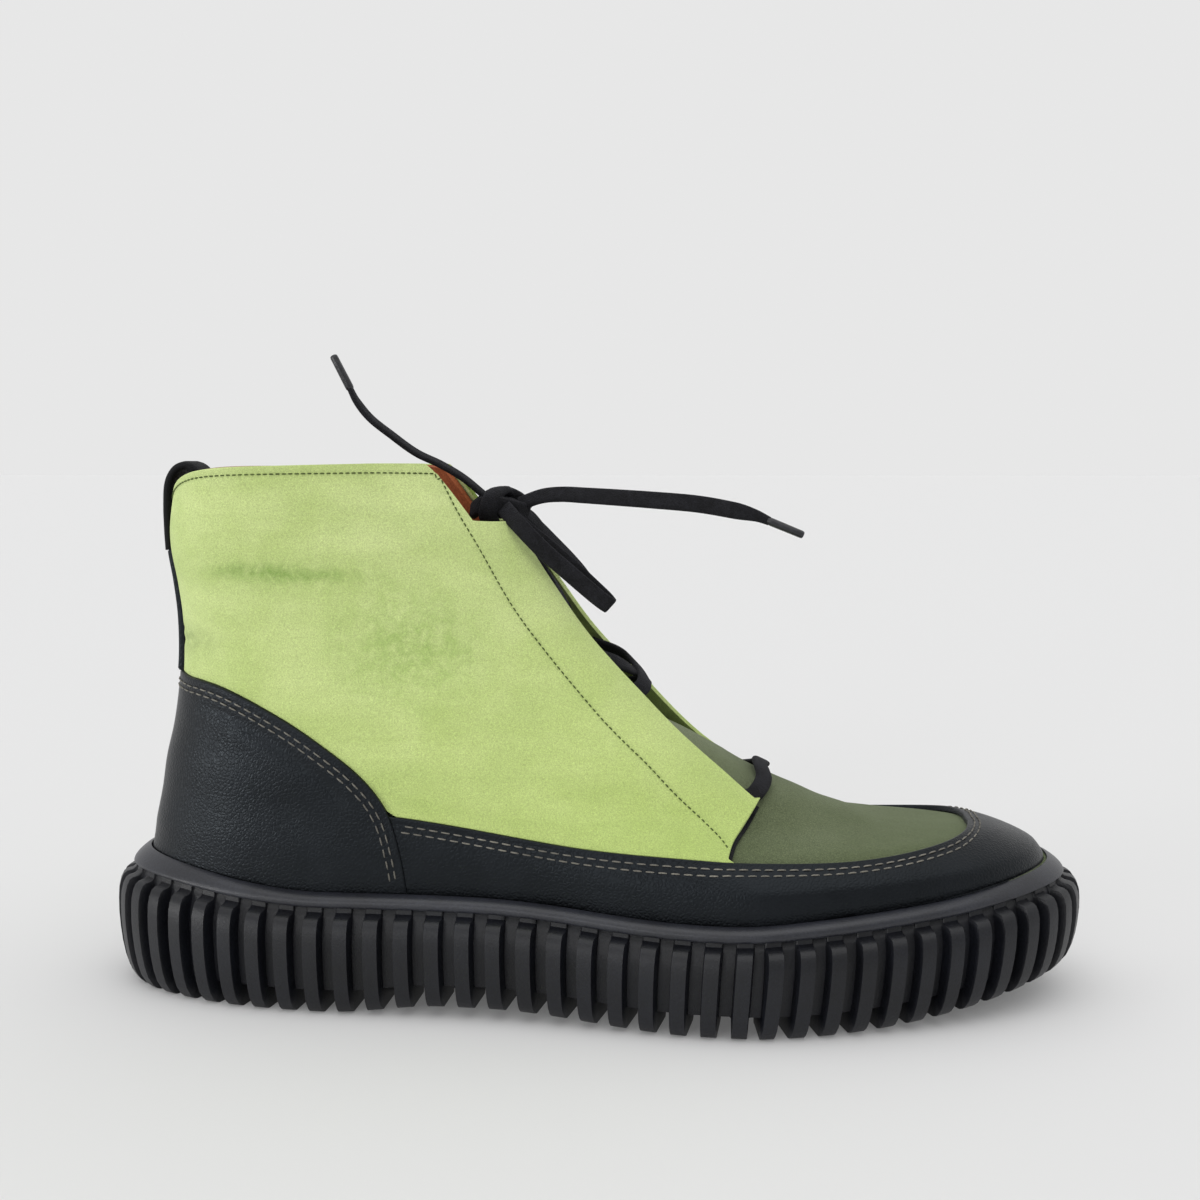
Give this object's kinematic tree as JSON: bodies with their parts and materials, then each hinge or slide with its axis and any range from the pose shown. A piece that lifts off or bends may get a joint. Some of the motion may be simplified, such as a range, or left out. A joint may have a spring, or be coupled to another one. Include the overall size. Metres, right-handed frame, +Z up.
{
  "type": "ankle boot",
  "caption": "Lace-up ankle boot for a right foot: two-tone leather upper with facings, rand and heel counter on a ribbed rubber cup sole.",
  "frame": {"origin": "centre of the sole's footprint box, on the ground", "axes": "+X to the toe, +Y to the inner (medial) side of the right foot, +Z up"},
  "size_m": [0.2884, 0.1134, 0.187],
  "materials": {
    "rubber": "matte black rubber",
    "olive_leather": "soft nubuck",
    "lime_leather": "soft nubuck",
    "black_leather": "smooth, fine grain, semi-gloss",
    "lining": "matte lining leather",
    "webbing": "woven tape",
    "lace": "flat woven lace",
    "aglet": "dull plastic tip"
  },
  "bodies": {
    "root": {"outsole": "rubber", "welt": "rubber", "insole": "lining", "upper": "olive_leather", "tongue": "olive_leather", "quarter_outer": "lime_leather", "quarter_inner": "lime_leather", "rand": "black_leather", "heel_counter": "black_leather", "backstay": "black_leather", "pull_loop": "webbing", "lace_bar": "lace", "lace_cross_middle": "lace", "lace_cross_top": "lace", "lace_knot": "lace", "lace_loop_outer": "lace", "lace_loop_inner": "lace", "lace_end_up": "lace", "lace_end_right": "lace", "aglet_up": "aglet", "aglet_right": "aglet"}
  },
  "joints": []
}
